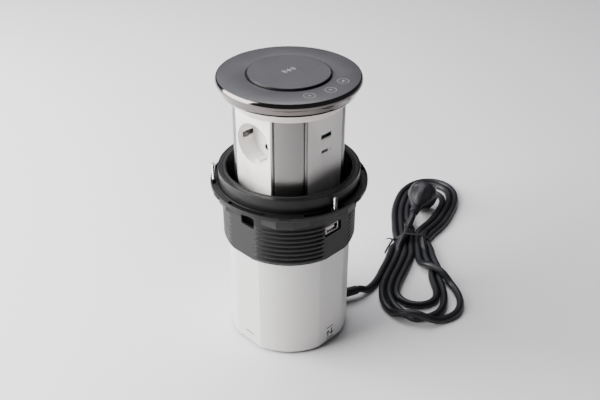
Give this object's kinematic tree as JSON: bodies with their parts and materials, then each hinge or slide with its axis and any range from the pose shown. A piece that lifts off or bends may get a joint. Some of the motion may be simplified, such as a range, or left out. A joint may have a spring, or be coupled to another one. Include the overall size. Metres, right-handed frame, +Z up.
{
  "type": "motorised pop-up desk socket",
  "caption": "Round desk tower whose column rises by motor, with mains sockets, USB ports, a charging pad on its lid, a screw clamp ring and a tied mains cord with plug.",
  "frame": {"origin": "on the floor under the middle of the tower, which stands on its four feet", "axes": "+Z up along the column, -Y the front, between the socket face and the USB face"},
  "size_m": [0.2963, 0.3511, 0.2814],
  "materials": {
    "black_plastic": "fine satin moulded texture",
    "brass": "turned",
    "circuit_board": "solder mask green",
    "copper": "enamelled wire",
    "cord_black": "soft PVC, matt",
    "dark_chrome": "dark nickel, polished",
    "ring_white": "translucent, slightly pink white",
    "rubber": "matt",
    "satin_aluminium": "satin, brushed along its length",
    "silver": "satin silver lacquer on extruded aluminium",
    "steel": "bright zinc",
    "touch_glass": "satin dark grey",
    "white_plastic": "gloss white"
  },
  "bodies": {
    "housing": {"foot_1": "rubber", "foot_2": "rubber", "foot_3": "rubber", "foot_4": "rubber", "base_cap": "black_plastic", "lower_housing": "silver", "collar": "black_plastic", "rim_seal": "rubber", "motor_bracket": "steel", "gear_motor": "steel", "screw_bearing": "brass", "guide_rod_front": "steel", "guide_rod_back": "steel", "power_board": "circuit_board", "terminal_block": "white_plastic", "data_port": "steel", "strain_relief": "cord_black", "mains_cord": "cord_black", "cord_hank": "cord_black", "cord_tie": "rubber", "plug": "cord_black", "plug_pins": "steel"},
    "lead_screw": {"lead_screw": "steel"},
    "column": {"column_base": "satin_aluminium", "lift_nut": "brass", "column_top_plate": "satin_aluminium", "corner_profile_1": "satin_aluminium", "corner_profile_2": "satin_aluminium", "corner_profile_3": "satin_aluminium", "corner_profile_4": "satin_aluminium", "socket_panel_left": "white_plastic", "socket_cup_left": "white_plastic", "earth_strap_left": "brass", "contact_live_left": "brass", "contact_neutral_left": "brass", "socket_panel_rear_right": "white_plastic", "socket_cup_rear_right": "white_plastic", "earth_strap_rear_right": "brass", "contact_live_rear_right": "brass", "contact_neutral_rear_right": "brass", "socket_panel_rear_left": "white_plastic", "socket_cup_rear_left": "white_plastic", "earth_strap_rear_left": "brass", "contact_live_rear_left": "brass", "contact_neutral_rear_left": "brass", "usb_panel": "white_plastic", "usb_a_port": "steel", "usb_c_port": "steel", "usb_board": "circuit_board", "diffuser_ring": "ring_white", "led_board": "circuit_board", "lid_tray": "black_plastic", "lid_bezel": "dark_chrome", "touch_plate": "touch_glass", "charging_pad": "touch_glass", "charging_coil": "copper"},
    "clamp_ring": {"clamp_ring": "black_plastic"},
    "clamp_screw_1": {"clamp_screw_1": "steel"},
    "clamp_screw_2": {"clamp_screw_2": "steel"},
    "clamp_screw_3": {"clamp_screw_3": "steel"}
  },
  "joints": [
    {"name": "column_lift", "type": "slide", "parent": "housing", "child": "column", "axis": [0, 0, 1], "range_m": [-0.0775, 0]},
    {"name": "screw_spin", "type": "hinge", "parent": "housing", "child": "lead_screw", "pos_m": [0, 0, 0.1], "axis": [0, 0, 1], "range_deg": [-5, 3500]},
    {"name": "clamp_ring_travel", "type": "slide", "parent": "housing", "child": "clamp_ring", "axis": [0, 0, 1], "range_m": [-0.044, 0]},
    {"name": "clamp_screw_1_travel", "type": "slide", "parent": "clamp_ring", "child": "clamp_screw_1", "axis": [0, 0, 1], "range_m": [-0.01, 0.005]},
    {"name": "clamp_screw_2_travel", "type": "slide", "parent": "clamp_ring", "child": "clamp_screw_2", "axis": [0, 0, 1], "range_m": [-0.012, 0.0025]},
    {"name": "clamp_screw_3_travel", "type": "slide", "parent": "clamp_ring", "child": "clamp_screw_3", "axis": [0, 0, 1], "range_m": [-0.015, 0]}
  ],
  "couplings": [
    {"joint": "screw_spin", "follows": "column_lift", "rad_per_m": -785.4}
  ]
}
